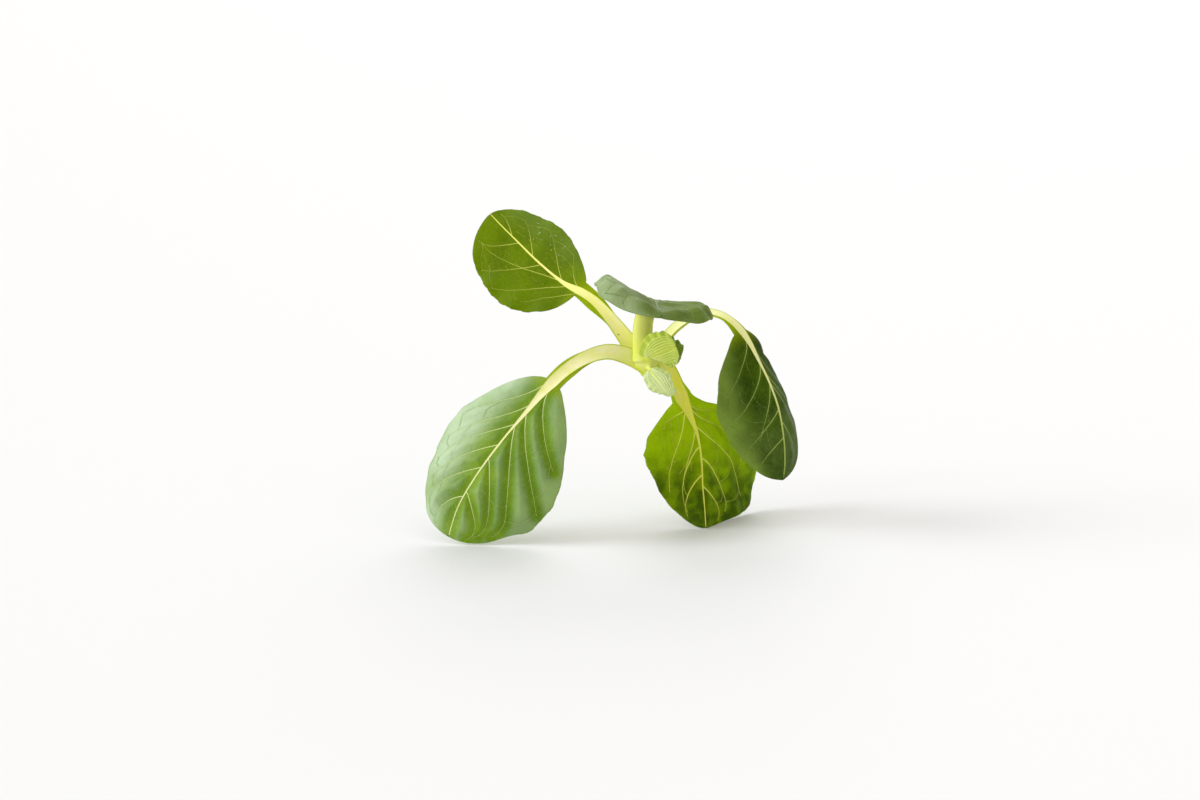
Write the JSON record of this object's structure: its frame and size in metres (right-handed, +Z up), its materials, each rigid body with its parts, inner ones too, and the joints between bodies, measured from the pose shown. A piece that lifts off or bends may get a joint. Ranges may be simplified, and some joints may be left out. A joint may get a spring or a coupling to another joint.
{
  "type": "tatsoi rosette",
  "caption": "Young tatsoi rosette standing on drooping leaf tips, with spoon-shaped dark green leaves on pale stalks round a small crown.",
  "frame": {"origin": "middle of the underside of the bounding box, on the surface that the leaf tips stand on", "axes": "+X to the right as pictured, +Y away from the camera, +Z up"},
  "size_m": [0.0946, 0.0556, 0.0787],
  "materials": {
    "crown": "smooth pale yellow-green plant tissue, slightly moist",
    "petiole": "smooth pale yellow-green stalk, satin, faintly ribbed along its length",
    "blade": "dark green leaf with pale veins, satin to glossy above, slightly see-through to light",
    "heart": "light green young leaf with raised veins"
  },
  "bodies": {
    "root": {"crown": "crown", "petiole_upper_left": "petiole", "petiole_lower_left": "petiole", "petiole_top": "petiole", "petiole_right": "petiole", "petiole_lower_right": "petiole", "blade_upper_left": "blade", "blade_lower_left": "blade", "blade_top": "blade", "blade_right": "blade", "blade_lower_right": "blade", "heart_leaf_upper": "heart", "heart_leaf_lower": "heart", "heart_leaf_back": "heart"}
  },
  "joints": []
}
